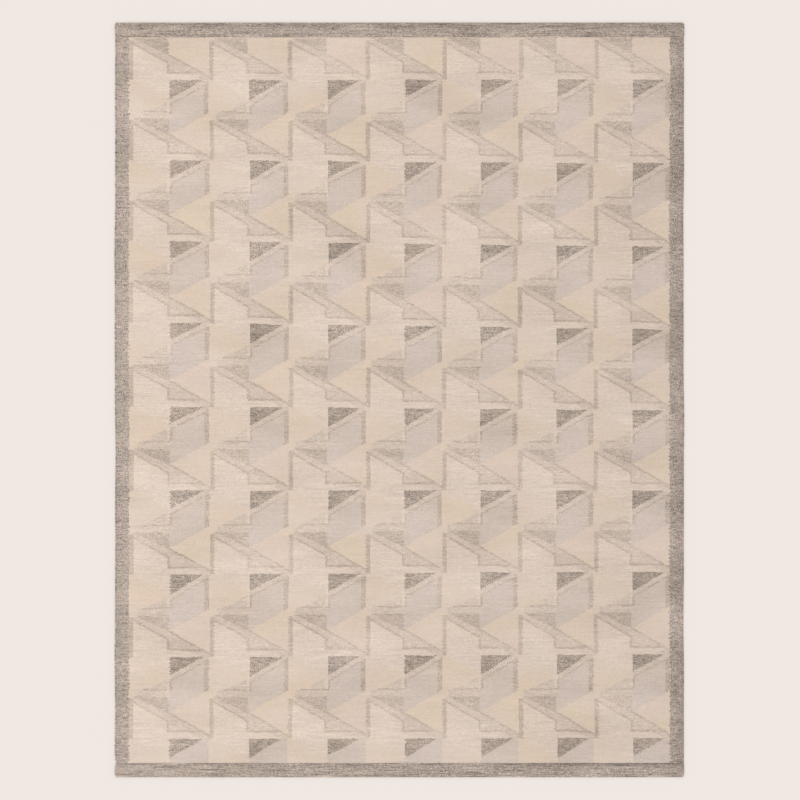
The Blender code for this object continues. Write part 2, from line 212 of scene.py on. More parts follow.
def pattern(x, stepped, y):
    """The yarn at each point, and its row. stepped is x as the slants follow it, in steps."""
    column = np.clip(np.searchsorted(EDGES, x, side="right") - 1, 0, COLUMNS - 1)
    row = sum((height_over(x, y, r) <= MOTIF_HEIGHT).astype(int) for r in range(ROWS)) - 1
    last = row == ROWS - 1
    width = EDGES[column + 1] - EDGES[column]
    corner = EDGES[column] + CORNER_SHARE * width
    slant = SLANT * MEAN_COLUMN / width
    left, right = EDGES[column] - corner, EDGES[column + 1] - corner
    u, s = x - corner, stepped - corner
    v = height_over(x, y, row)
    below = height_over(x, y, row + 1)
    bar, tip = left + BAR_WIDTH, right + BAR_WIDTH
    fall = slant * (tip - s)
    shoulder = fall - BAND_DROP
    sand_top = SAND_APEX + slant * s
    wedge_slope = (slant * (tip + WEDGE_RIGHT) - MOTIF_HEIGHT) / (-WEDGE_RIGHT - bar - WEDGE_LEFT)
    wedge_under = MOTIF_HEIGHT + wedge_slope * (s - bar - WEDGE_LEFT)
    hypotenuse = TILTS[np.clip(row, 0, ROWS - 1), column] * (slant * s - DARK_DROP)
    band_low = hypotenuse + DARK_DROP - BAND_LOW
    stem, stem_right = -STEM_LEFT, STEM_WIDTH - STEM_LEFT

    yarn = np.full(x.shape, CREAM)

    def paint(where, colour):
        yarn[where] = colour

    # Above the corner: the bar, the diagonal band, the wedge, the foot and the sand triangle
    up = v > 0
    paint(up & (v > shoulder + LINE_WIDTH) & (v <= wedge_under), GREIGE)
    paint(up & (u > stem_right) & (v > FOOT_BOTTOM + LINE_WIDTH) & (v <= fall), GREIGE)
    paint(up & (u < stem_right) & (u > bar) & (v > shoulder) & (v <= shoulder + LINE_WIDTH), OUTLINE)
    paint(up & (u > stem) & (u <= stem_right) & (v > FOOT_BOTTOM) & (v <= shoulder + LINE_WIDTH), OUTLINE)
    foot = (v > FOOT_BOTTOM) & (v <= FOOT_BOTTOM + LINE_WIDTH)
    paint(up & (u > stem) & foot & (v <= fall + LINE_WIDTH), OUTLINE)
    paint(up & (u > bar + WEDGE_LEFT) & (u <= -WEDGE_RIGHT) & (v > wedge_under), WEDGE)
    paint(up & (u <= bar), SAND)
    paint(up & (u > -WEDGE_RIGHT) & (v > fall + LINE_WIDTH), SAND)
    paint(up & (u > -WEDGE_RIGHT) & (v > fall) & (v <= fall + LINE_WIDTH), OUTLINE)
    paint(up & (u > 0) & (v <= hypotenuse) & (v <= fall), GREIGE)
    paint(up & (u <= bar) & (v <= BAR_HEIGHT), OUTLINE)
    high = up & (u > -WEDGE_RIGHT) & (v > sand_top)
    paint(high & (row > 0), LILAC)
    paint(high & (row == 0), PEACH)
    paint(high & (u > right - RIGHT_BAR), TAUPE)
    paint(high & (u > right - RIGHT_BAR_END), SAND)

    # Below it: the peach area and pale wedge at the left, the dark triangle and lilac at the right
    down = ~up
    paint(down & (v < -PANEL_DIAGONAL - PANEL_SLOPE * s), PEACH)
    pale = (v < PALE_WEDGE_SLOPE * s - PALE_WEDGE_TOP) & (u > -PALE_WEDGE_END) & (u <= 0)
    paint(down & pale, GREIGE)
    strip = MOTIF_HEIGHT + STRIP_TOP
    paint(down & (u > -HAIR_LEFT) & (u <= 0) & (below <= strip + HAIR_LINE), TAUPE)
    paint(down & (u > -STRIP_LEFT) & (u <= 0) & (below <= strip), GREIGE)
    paint(down & (u > -STEM_LEFT) & (u <= 0) & (v > -STEM_GROUND), CREAM)
    side = down & (u > 0)
    paint(side, LILAC)
    paint(side & (u < LILAC_LINE_RIGHT) & (v > -LILAC_LINE_END), TAUPE)
    paint(side & (u > right - RIGHT_BAR), TAUPE)
    paint(side & (v > band_low - THIN_LINE), TAUPE)
    paint(side & (v > band_low), GREIGE)
    paint(side & last, LILAC)
    paint(side & (v > hypotenuse), DARK)
    paint(side & (u > right - RIGHT_BAR_END), PEACH)
    paint(side & ~last & (below < sand_top), SAND)
    return yarn, row


# The pieces. The first of them, one for each row, are the outlines
LEFT_PIECE, RIGHT_PIECE, GROUND_PIECE = range(ROWS, ROWS + 3)
LILAC_PIECE, GREIGE_PIECE, CHARCOAL_PIECE, TAUPE_PIECE = range(ROWS + 3, ROWS + 7)
PIECE_NAMES = {row: f"outline_wool_row_{row + 1}" for row in range(ROWS)}
PIECE_NAMES[LEFT_PIECE] = "left_border_wool"
PIECE_NAMES[RIGHT_PIECE] = "right_border_wool"
PIECE_NAMES[GROUND_PIECE] = "field_ground_wool"
PIECE_NAMES[LILAC_PIECE] = "field_lilac_wool"
PIECE_NAMES[GREIGE_PIECE] = "field_greige_wool"
PIECE_NAMES[CHARCOAL_PIECE] = "field_charcoal_wool"
PIECE_NAMES[TAUPE_PIECE] = "field_taupe_wool"
# How far each piece's faces lie below those of the field's ground
SINK = {row: 0.0006 for row in range(ROWS)}
SINK.update({LEFT_PIECE: 0.0, RIGHT_PIECE: 0.0, GROUND_PIECE: 0.0, LILAC_PIECE: 0.0001})
SINK.update({GREIGE_PIECE: 0.0002, CHARCOAL_PIECE: 0.0003, TAUPE_PIECE: 0.0007})


def yarn_grid():
    """The yarn over each rib at each pick, and the piece that each belongs to."""
    rib, pick = np.meshgrid(np.arange(RIBS), np.arange(PICKS), indexing="ij")
    tooth = pick // TOOTH_PICKS
    way = np.where(tooth % 2 == 0, 1, -1)
    reach = rng.uniform(*TOOTH_REACH, (RIBS // TOOTH_RIBS + 1, PICKS // TOOTH_PICKS))
    x = RIBS_LEFT + (rib + 0.5 + way * reach[rib // TOOTH_RIBS, tooth]) * RIB
    stepped = RIBS_LEFT + (rib // STAIR_RIBS * STAIR_RIBS + 1) * RIB
    loose = rng.integers(-1, 2, (RIBS // STAIR_RIBS + 1, PICKS // LOOSE_PICKS + 1))
    y = FIELD_BOTTOM + (pick + 0.5 + 0.5 * loose[rib // STAIR_RIBS, pick // LOOSE_PICKS]) * PICK
    yarn, row = pattern(x, stepped, y)
    comb = COMB_REACH * way * rng.uniform(0.0, 1.0, PICKS // TOOTH_PICKS)[tooth]
    edge_x = RIBS_LEFT + (rib + 0.5 + comb) * RIB
    left, right = edge_x < FIELD_LEFT, edge_x > FIELD_RIGHT - RIGHT_BORDER_MORE
    yarn[left], yarn[right] = BORDER_LEFT, BORDER_RIGHT
    ground = np.isin(yarn, (CREAM, PEACH, SAND))
    areas = [left, right, ground, yarn == LILAC, yarn == GREIGE, yarn == DARK, yarn == TAUPE]
    return yarn, np.select(areas, range(LEFT_PIECE, TAUPE_PIECE + 1), row)


def waves(seed, count, shortest, longest):
    """A smooth random field over the plane, about -1 to 1, as a function."""
    r = np.random.default_rng(seed)
    length = np.exp(r.uniform(np.log(shortest), np.log(longest), count))
    angle, phase = r.uniform(0, 2 * np.pi, (2, count))
    kx, ky = 2 * np.pi / length * np.cos(angle), 2 * np.pi / length * np.sin(angle)

    def value(x, y):
        total = sum(np.sin(kx[i] * x + ky[i] * y + phase[i]) for i in range(count))
        return total / math.sqrt(count)

    return value


# Each with its seed, how many waves it adds up, and the lengths of the shortest and the longest
SWELL = waves(1, 9, 0.10, 0.55)
WANDER_X = waves(2, 7, 0.15, 0.9)
WANDER_Y = waves(3, 7, 0.12, 0.8)
EDGE_WAVE = waves(4, 5, 0.25, 1.4)


def settled(x, y, z, top):
    """Points of the flat cloth as it really lies: yarns wander, edges wave and the face swells."""
    half = (RUG_RIGHT - RUG_LEFT) / 2
    edge = (np.abs(x) / half) ** 6
    x2 = x + RIB_SWAY * WANDER_X(x, y) * (1 - edge)
    x2 = x2 + SPLAY * np.sin(np.pi * x / half) * np.abs(y / FIELD_TOP) ** 3
    x2 = x2 + (EDGE_SWAY * EDGE_WAVE(np.sign(x) * 3.0, y) - EDGE_TRIM * np.sign(x)) * edge
    near = np.clip((-x - half + NOTCH_WIDTH) / NOTCH_WIDTH, 0, 1) ** 2
    notch = NOTCH * np.exp(-(((y - FIELD_BOTTOM) / NOTCH_LENGTH) ** 2)) * near
    inside = np.clip(np.minimum(y - FIELD_BOTTOM, FIELD_TOP - y) / CALM, 0, 1)
    y2 = y + PICK_SWAY * WANDER_Y(x, y) * inside + BOW * np.clip(1 - (y / FIELD_TOP) ** 2, 0, 1)
    lift = SWELL_RISE * SWELL(x, y)
    return x2 + notch, y2, z + np.where(top, lift, 0.0)


def new_mesh(name, points, faces, materials, smooth):
    """A mesh from face lists of vertex numbers, with a material and a shading for each face."""
    sizes = np.fromiter((len(f) for f in faces), int, len(faces))
    corners = np.fromiter(chain.from_iterable(faces), int, sizes.sum())
    mesh = bpy.data.meshes.new(name)
    mesh.vertices.add(len(points))
    mesh.vertices.foreach_set("co", np.asarray(points, np.float32).ravel())
    mesh.loops.add(len(corners))
    mesh.loops.foreach_set("vertex_index", corners.astype(np.int32))
    mesh.polygons.add(len(faces))
    mesh.polygons.foreach_set("loop_start", (np.cumsum(sizes) - sizes).astype(np.int32))
    mesh.polygons.foreach_set("material_index", np.asarray(materials, np.int32))
    mesh.polygons.foreach_set("use_smooth", np.asarray(smooth, bool))
    mesh.update(calc_edges=True)
    return mesh, corners


def ends_of(mesh):
    """The two vertex numbers of each edge."""
    ends = np.empty(2 * len(mesh.edges), np.int32)
    mesh.edges.foreach_get("vertices", ends)
    return ends.reshape(-1, 2)


def add_map(mesh, name, places):
    """A UV map from a place for each corner of a face."""
    mesh.uv_layers.new(name=name, do_init=False).uv.foreach_set("vector", places.astype(np.float32).ravel())


def stood(piece, node_names):
    """A new piece that stands for CAD nodes, which it hides, and hangs from the root body."""
    bpy.context.collection.objects.link(piece)
    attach(piece, "root")
    if node_names:
        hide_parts(*node_names)
    return piece


def bead_point(k):
    """A point of the selvedge's round edge, from the face (0) to the back (BEAD_STEPS + 1), as (out, z)."""
    turn = math.radians(BEAD_OPEN * (1 - 2 * k / (BEAD_STEPS + 1)))
    radius = SELVEDGE / 2
    return radius + radius * math.cos(turn), radius + radius * math.sin(turn)


class Cloth:
    """The woven cloth between the hems, as faces of each piece. A corner is a whole number: its
    line across the rug, its pick and its side."""

    def __init__(self):
        self.yarn, self.piece = yarn_grid()
        key = self.piece * len(WOOLS) + self.yarn
        self.breaks = np.zeros((RIBS, PICKS + 1), bool)
        self.breaks[:, ::SHEET_STEP] = True
        self.breaks[:NOTCH_RIBS, :SHEET_STEP:NOTCH_STEP] = True
        self.breaks[:, -1] = True
        self.breaks[:, 1:-1] |= key[:, 1:] != key[:, :-1]
        self.valleys = []
        for line in range(RIBS + 1):
            either = self.breaks[max(line - 1, 0)] | self.breaks[min(line, RIBS - 1)]
            self.valleys.append(np.flatnonzero(either).tolist())
        self.faces = {p: [] for p in PIECE_NAMES}
        self.kinds = {p: [] for p in PIECE_NAMES}
        self.walls = {p: [] for p in PIECE_NAMES}

    def corner(self, line, pick, back):
        """The number of a corner. Even lines are the valleys beside the ribs, odd ones their crests."""
        return (line * (PICKS + 1) + pick) * 2 + back

    def add(self, piece, corners, kind, wall):
        """One more face of a piece, of this kind of yarn. A wall is shaded flat."""
        self.faces[piece].append(corners)
        self.kinds[piece].append(kind)
        self.walls[piece].append(wall)

    def run(self, rib, first, last):
        """Both faces of a run of one yarn over one rib, and its ends where another piece begins."""
        piece, kind = int(self.piece[rib, first]), int(self.yarn[rib, first])
        at = self.corner
        ridge = 2 * rib + 1
        for side, line in ((0, rib), (1, rib + 1)):
            known = self.valleys[line]
            picks = known[bisect_left(known, first) : bisect_right(known, last)]
            for back in (0, 1):
                edge = [at(2 * line, p, back) for p in picks]
                face = [at(ridge, first, back), at(ridge, last, back), *reversed(edge)]
                self.add(piece, face if side == back else face[::-1], kind, False)
            for pick, way in ((first, 0), (last, 1)):
                beyond = pick if way else pick - 1
                if 0 <= beyond < PICKS and self.piece[rib, beyond] == piece:
                    continue
                ends = ((2 * line, 0), (ridge, 0), (ridge, 1), (2 * line, 1))
                wall = [at(number, pick, back) for number, back in ends]
                self.add(piece, wall if side != way else wall[::-1], kind, True)

    def side_wall(self, line, first, last):
        """The wall between two ribs of different pieces, once for each."""
        at = self.corner
        around = ((first, 0), (last, 0), (last, 1), (first, 1))
        wall = [at(2 * line, pick, back) for pick, back in around]
        before = int(self.piece[line - 1, first]) if line > 0 else None
        after = int(self.piece[line, first]) if line < RIBS else None
        if before == after:
            return
        if before is not None and after is not None:
            self.add(before, wall[::-1], int(self.yarn[line - 1, first]), True)
            self.add(after, wall, int(self.yarn[line, first]), True)
            return
        piece, kind = (after, BORDER_LEFT) if before is None else (before, BORDER_RIGHT)
        for k in range(BEAD_STEPS + 1):
            near, far = self.bead_line(line, k), self.bead_line(line, k + 1)
            strip = [at(near[0], first, near[1]), at(near[0], last, near[1])]
            strip += [at(far[0], last, far[1]), at(far[0], first, far[1])]
            self.add(piece, strip if before is None else strip[::-1], kind, False)

    def bead_line(self, line, k):
        """The line and side of a point round the selvedge's edge."""
        if k == 0 or k == BEAD_STEPS + 1:
            return 2 * line, int(k > 0)
        return LINES + (0 if line == 0 else BEAD_STEPS) + k - 1, 0

    def bead_cap(self, line, pick, way):
        """The closed end of the selvedge's round edge."""
        piece, kind = (LEFT_PIECE, BORDER_LEFT) if line == 0 else (RIGHT_PIECE, BORDER_RIGHT)
        ring = [self.bead_line(line, k) for k in range(BEAD_STEPS + 2)]
        cap = [self.corner(number, pick, side) for number, side in ring]
        self.add(piece, cap if (line == 0) == (way == 0) else cap[::-1], kind, True)

    def weave(self):
        """Every run of yarn, the walls between them and the round edges' ends."""
        flat = np.flatnonzero(self.breaks.ravel()).tolist()
        for start, stop in zip(flat, flat[1:]):
            rib, first = divmod(start, PICKS + 1)
            if first < PICKS:
                self.run(rib, first, stop - rib * (PICKS + 1))
        for line in range(RIBS + 1):
            known = self.valleys[line]
            for first, last in zip(known, known[1:]):
                self.side_wall(line, first, last)
        for line in (0, RIBS):
            self.bead_cap(line, 0, 0)
            self.bead_cap(line, PICKS, 1)

    def places(self, codes, sink):
        """Where corners lie, and their lines and flat places."""
        back = codes % 2 == 1
        line, pick = np.divmod(codes // 2, PICKS + 1)
        x = RIBS_LEFT + line * RIB / 2
        y = FIELD_BOTTOM + pick * PICK
        low = sink + np.where(line % 2 == 0, RIB_RISE, 0.0)
        z = np.where(back, low, CLOTH - low)
        bead = line >= LINES
        for k in range(BEAD_STEPS):
            out, height = bead_point(k + 1)
            for start, way, edge in ((LINES, -1, RIBS_LEFT), (LINES + BEAD_STEPS, 1, RIBS_RIGHT)):
                here = line == start + k
                x = np.where(here, edge + way * out, x)
                z = np.where(here, height, z)
        flat = np.stack([x, y], 1)
        top = ~back & ~bead
        x, y, z = settled(x, y, z, top)
        return np.stack([x, y, z], 1), line, flat

    def made(self, piece, materials):
        """The finished object of one piece."""
        name = PIECE_NAMES[piece]
        faces = self.faces[piece]
        codes, numbers = np.unique(np.fromiter(chain.from_iterable(faces), np.int64), return_inverse=True)
        points, line, flat = self.places(codes, SINK[piece])
        sizes = np.cumsum([len(f) for f in faces])
        faces = np.split(numbers, sizes[:-1])
        kinds = np.array(self.kinds[piece])
        used = sorted(set(self.kinds[piece]))
        slots = np.searchsorted(used, kinds)
        mesh, corners = new_mesh(name, points, faces, slots, ~np.array(self.walls[piece]))
        for kind in used:
            mesh.materials.append(materials[kind])
        a, b = ends_of(mesh).T
        sharp = (line[a] == line[b]) & (line[a] % 2 == 0) & (line[a] < LINES)
        mesh.attributes.new("sharp_edge", "BOOLEAN", "EDGE").data.foreach_set("value", sharp)
        weave = np.stack([line / 2, flat[:, 1] / FLOAT_LENGTH], 1)
        weave[line >= LINES, 0] = np.where(line >= LINES + BEAD_STEPS, RIBS + 0.5, -0.5)[line >= LINES]
        low = flat.min(0)
        add_map(mesh, "Weave", weave[corners])
        add_map(mesh, "OFBake", ((flat - low) / (flat.max(0) - low))[corners])
        return bpy.data.objects.new(name, mesh)


def hem_profile(inner_edge):
    """The folded hem's cross-section: a loop of (out from the rug's middle, height) and the way
    out of the cloth at each point."""
    layer = HEM_HEIGHT / 2 - GAP / 2
    upper, lower = HEM_HEIGHT - layer / 2, layer / 2
    radius, fold = (upper - lower) / 2, RUG_END - HEM_HEIGHT / 2
    path = []
    for i in range(RISE_STEPS + 1):
        share = i / RISE_STEPS
        smooth = share * share * (3 - 2 * share)
        path.append((inner_edge + HEM_RISE * share, CLOTH / 2 + (upper - CLOTH / 2) * smooth))
    path += [(inner_edge + HEM_RISE + (fold - inner_edge - HEM_RISE) * k / 3, upper) for k in (1, 2)]
    for i in range(FOLD_STEPS + 1):
        turn = math.pi * (0.5 - i / FOLD_STEPS)
        path.append((fold + radius * math.cos(turn), HEM_HEIGHT / 2 + radius * math.sin(turn)))
    path.append((inner_edge + HEM_RISE + FLAP_SETBACK, lower))
    path = np.array(path)
    along = np.gradient(path, axis=0)
    along /= np.linalg.norm(along, axis=1)[:, None]
    across = np.stack([-along[:, 1], along[:, 0]], 1)
    skin = layer / 2
    loop = np.concatenate([path + across * skin, (path - across * skin)[::-1]])
    return loop, np.concatenate([across, -across[::-1]])


def hem(name, side, material):
    """A folded end band. side is 1 at the top and -1 at the bottom."""
    inner_edge = FIELD_TOP if side > 0 else -FIELD_BOTTOM
    loop, out = hem_profile(inner_edge + GAP / 2)
    count, lines = len(loop), 2 * HEM_RIBS + 1
    half = (RUG_RIGHT - RUG_LEFT) / 2
    line = np.repeat(np.arange(lines), count)
    at = np.tile(np.arange(count), lines)
    x = -half + line * half / HEM_RIBS
    past = np.clip(np.abs(x) - (half - CORNER_RADIUS), 0, CORNER_RADIUS)
    end = RUG_END - CORNER_RADIUS + np.sqrt(CORNER_RADIUS**2 - past**2)
    rise = np.where(line % 2 == 0, -HEM_RIB_RISE, 0.0)
    d = loop[at, 0] + rise * out[at, 0]
    z = loop[at, 1] + rise * out[at, 1]
    reach = np.clip((d - inner_edge) / (RUG_END - inner_edge), 0, 1)
    y = side * (d - (RUG_END - end) * reach)
    flat = np.stack([x, y], 1)
    top = out[at, 1] > 0.5
    x, y, z = settled(x, y, z, top)
    points = np.stack([x, y, z], 1)
    faces, walls = [], []
    for i in range(lines - 1):
        for k in range(count):
            n = (k + 1) % count
            face = [i * count + k, (i + 1) * count + k, (i + 1) * count + n, i * count + n]
            faces.append(face if side < 0 else face[::-1])
            walls.append(k in (count // 2 - 1, count - 1))
    first = list(range(count))
    last = [(lines - 1) * count + k for k in range(count)]
    caps = [first, last[::-1]] if side < 0 else [first[::-1], last]
    faces += caps
    walls += [True, True]
    mesh, corners = new_mesh(name, points, faces, np.zeros(len(faces)), ~np.array(walls))
    mesh.materials.append(material)
    a, b = ends_of(mesh).T
    sharp = (line[a] == line[b]) & (line[a] % 2 == 0)
    mesh.attributes.new("sharp_edge", "BOOLEAN", "EDGE").data.foreach_set("value", sharp)
    add_map(mesh, "Weave", np.stack([line / 2, side * d / HEM_FLOAT], 1)[corners])
    low = flat.min(0)
    add_map(mesh, "OFBake", ((flat - low) / (flat.max(0) - low))[corners])
    return bpy.data.objects.new(name, mesh)


def linear(*rgb):
    """A display colour, 0 to 255, as the linear colour that a shader takes."""
    share = [c / 255 for c in rgb]
    return tuple(c / 12.92 if c <= 0.04045 else ((c + 0.055) / 1.055) ** 2.4 for c in share)


class Nodes:
    """A short way to write a node tree."""

    def __init__(self, name):
        self.material = bpy.data.materials.new(name)
        self.material.use_nodes = True
        self.tree = self.material.node_tree
        self.shader = self.tree.nodes["Principled BSDF"]

    def put(self, socket, value):
        """Links a socket to another, or sets its number."""
        if isinstance(value, bpy.types.NodeSocket):
            self.tree.links.new(value, socket)
        elif value is not None:
            socket.default_value = value

    def node(self, kind, inputs=(), output=0, **settings):
        """One output of a new node."""
        made = self.tree.nodes.new(kind)
        for key, value in settings.items():
            setattr(made, key, value)
        for key, value in dict(inputs).items():
            self.put(made.inputs[key], value)
        return made.outputs[output]

    def math(self, operation, a, b=None, c=None):
        return self.node("ShaderNodeMath", {0: a, 1: b, 2: c}, operation=operation)

    def mix(self, share, a, b):
        """The colour that lies this share of the way from a to b."""
        inputs = {"Factor": share, "A": a, "B": b}
        made = self.tree.nodes.new("ShaderNodeMix")
        made.data_type = "RGBA"
        by_type = {("Factor", "VALUE"): "Factor", ("A", "RGBA"): "A", ("B", "RGBA"): "B"}
        for socket in made.inputs:
            key = by_type.get((socket.name, socket.type))
            if key:
                self.put(socket, inputs[key])
        return next(o for o in made.outputs if o.type == "RGBA")

    def noise(self, vector, detail=2.0):
        inputs = {"Vector": vector, "Scale": 1.0, "Detail": detail, "Roughness": 0.5}
        return self.node("ShaderNodeTexNoise", inputs, noise_dimensions="2D")

    def ramp(self, value, start, stop, here, there):
        """here up to start, there from stop on, and a straight change between them."""
        return self.node("ShaderNodeMapRange", {0: value, 1: start, 2: stop, 3: here, 4: there})

    def vector(self, x, y):
        return self.node("ShaderNodeCombineXYZ", {"X": x, "Y": y})

    def stretched(self, x, x_scale, y, y_scale):
        return self.vector(self.math("MULTIPLY", x, x_scale), self.math("MULTIPLY", y, y_scale))

    def parts(self, vector):
        """The X and Y of a vector."""
        made = self.tree.nodes.new("ShaderNodeSeparateXYZ")
        self.put(made.inputs[0], vector)
        return made.outputs["X"], made.outputs["Y"]

    def scaled(self, colour, factor):
        """A colour times a number."""
        factors = self.node("ShaderNodeCombineXYZ", {0: factor, 1: factor, 2: factor})
        if not isinstance(colour, bpy.types.NodeSocket):
            colour = colour[:3]
        return self.node("ShaderNodeVectorMath", {0: colour, 1: factors}, operation="MULTIPLY")

    def finish(self, height, bump, roughness, fibres, sheen, specular):
        """The relief and the gloss. The fibres move the roughness between its two ends."""
        relief = self.node("ShaderNodeBump", {"Distance": bump, "Height": height})
        self.put(self.shader.inputs["Normal"], relief)
        self.put(self.shader.inputs["Roughness"], self.ramp(fibres, 0.0, 1.0, *roughness))
        self.shader.inputs["Sheen Weight"].default_value = sheen
        self.shader.inputs["Specular IOR Level"].default_value = specular


OBJECT_PLACE = 3  # the Texture Coordinate node's Object output
PAINTED_SIDE_LIGHT = 0.055  # painted light from the left: how much paler than the middle the left edge is painted, and how much darker the right
SLUB = 0.14  # how much lighter the odd thick float is
SLUBS_FROM, SLUBS_FULL = 0.985, 0.995  # so about one float in a hundred is one
FIBRE_TONE = 0.3
# Where the bottom hem's wool is darker beside its seam
CREASE_DEPTH = (FIELD_TOP + 0.006, FIELD_TOP + 0.024)  # where it starts to fade along Y, and ends
CREASE_START = (0.30, 0.75)  # and where it begins along X, and is full


def wool(name, colours, speckle, streak, stripe, drift, shades=(), seam_darkening=0.0):
    """Hand-spun wool in a weft-faced weave. Its tone changes from float to float (speckle), in
    flecks along each weft (streak), from weft to weft over a hand's span (stripe) and slowly
    over the cloth (drift), and it is painted paler on the left and darker on the right as painted
    light from the left. colours are the two ends of the change between dye lots. Each of the
    shades is an axis, two distances from the rug's middle along it, and the tone at each; some of
    them are painted shade. A seam darkening makes the wool darker beside the hem's seam, more so
    towards the rug's right end."""
    n = Nodes(name)
    u, v = n.parts(n.node("ShaderNodeUVMap", uv_map="Weave"))
    x, y = n.parts(n.node("ShaderNodeTexCoord", output=OBJECT_PLACE))
    rib = n.math("FLOOR", u)
    odd = n.math("FLOORED_MODULO", rib, 2.0)
    shifted = n.math("MULTIPLY_ADD", odd, 0.5, v)
    weft = n.math("MULTIPLY_ADD", n.math("FLOOR", shifted), 2.0, odd)
    # Waves for each rib and weft, and in the slow changes and the fibres for each metre
    floats = n.noise(n.stretched(u, 0.85, weft, 3.7), detail=1.0)
    flecks = n.noise(n.stretched(u, 0.20, weft, 3.7), detail=3.0)
    stripes = n.noise(n.stretched(u, 0.030, weft, 0.25))
    slow = n.noise(n.stretched(x, 2.5, y, 9.0))
    fibres = n.noise(n.stretched(x, 500.0, y, 1100.0))
    tone = 1.0
    parts = ((floats, speckle), (flecks, streak), (stripes, stripe), (slow, drift), (fibres, FIBRE_TONE))
    for value, amount in parts:
        tone = n.math("MULTIPLY_ADD", n.math("SUBTRACT", value, 0.5), 2 * amount, tone)
    slubs = n.node("ShaderNodeTexWhiteNoise", {"Vector": n.vector(rib, weft)}, noise_dimensions="2D")
    tone = n.math("ADD", tone, n.ramp(slubs, SLUBS_FROM, SLUBS_FULL, 0.0, SLUB))
    # painted light from the left: the tone is paler on the left and darker on the right
    tone = n.math("MULTIPLY", tone, n.math("MULTIPLY_ADD", x, -PAINTED_SIDE_LIGHT / RUG_RIGHT, 1.0))
    for axis, start, stop, here, there in shades:
        away = n.math("ABSOLUTE", x if axis == "X" else y)
        tone = n.math("MULTIPLY", tone, n.ramp(away, start, stop, here, there))
    # darker beside the bottom hem's seam, more so towards the rug's right end
    if seam_darkening:
        seam = n.ramp(n.math("ABSOLUTE", y), *CREASE_DEPTH, seam_darkening, 0.0)
        seam_darker_share = n.math("MULTIPLY", seam, n.ramp(x, *CREASE_START, 0.0, 1.0))
        tone = n.math("MULTIPLY", tone, n.math("SUBTRACT", 1.0, seam_darker_share))
    lot = n.ramp(n.noise(n.stretched(x, 2.2, y, 4.0), detail=1.0), 0.35, 0.65, 0.0, 1.0)
    base = n.mix(lot, (*colours[0], 1), (*colours[1], 1))
    n.put(n.shader.inputs["Base Color"], n.scaled(base, n.math("MAXIMUM", tone, 0.1)))
    across = n.math("FRACT", shifted)
    arch = n.math("MULTIPLY", across, n.math("SUBTRACT", 1.0, across))
    height = n.math("MULTIPLY_ADD", fibres, 0.35, n.math("MULTIPLY", arch, 4.0))
    n.finish(height, 0.0007, (0.82, 0.98), fibres, sheen=0.12, specular=0.2)
    n.shader.inputs["Sheen Roughness"].default_value = 0.5
    return n.material


def twisted(name, colour, pitch, lean, bump):
    """Plied cotton or thread: strands that wind round it, painted darker in the grooves between them as
    painted shade, with a loose fibre tone.
    """
    n = Nodes(name)
    x, y = n.parts(n.node("ShaderNodeTexCoord", output=OBJECT_PLACE))
    turn = n.math("MULTIPLY_ADD", y, 1 / pitch, n.math("MULTIPLY", x, lean / pitch))
    strand = n.math("PINGPONG", turn, 0.5)
    fibres = n.noise(n.stretched(x, 900.0, y, 700.0), detail=3.0)
    slow = n.noise(n.stretched(x, 20.0, y, 20.0))
    # painted shade: the strands' colour is darker in the grooves between them, where the bump is lowest
    tone = n.math("MULTIPLY_ADD", strand, 0.5, 0.72)
    tone = n.math("MULTIPLY_ADD", n.math("SUBTRACT", fibres, 0.5), 0.3, tone)
    tone = n.math("MULTIPLY_ADD", n.math("SUBTRACT", slow, 0.5), 0.25, tone)
    n.put(n.shader.inputs["Base Color"], n.scaled((*linear(*colour), 1), tone))
    height = n.math("MULTIPLY_ADD", fibres, 0.3, n.math("MULTIPLY", strand, 2.0))
    n.finish(height, bump, (0.7, 0.95), fibres, sheen=0.1, specular=0.3)
    return n.material


# Shades
# the side borders grow darker towards the rug's side edges
BORDER_DARKER_OUTWARD = [("X", FIELD_RIGHT, RUG_RIGHT, 1.05, 0.94)]
# painted shade: the top hem's wool darkens towards its rounded fold
FOLD_PAINTED_SHADE = [("Y", FIELD_TOP + 0.038, FIELD_TOP + 0.052, 1.035, 0.87)]
# partly painted shade at the step where the cloth climbs onto the bottom hem, partly darker first picks:
# the hem darkens towards its seam
SEAM_SHADE_AND_DARK_PICKS = [("Y", FIELD_TOP + 0.006, FIELD_TOP + 0.022, 0.94, 1.035)]
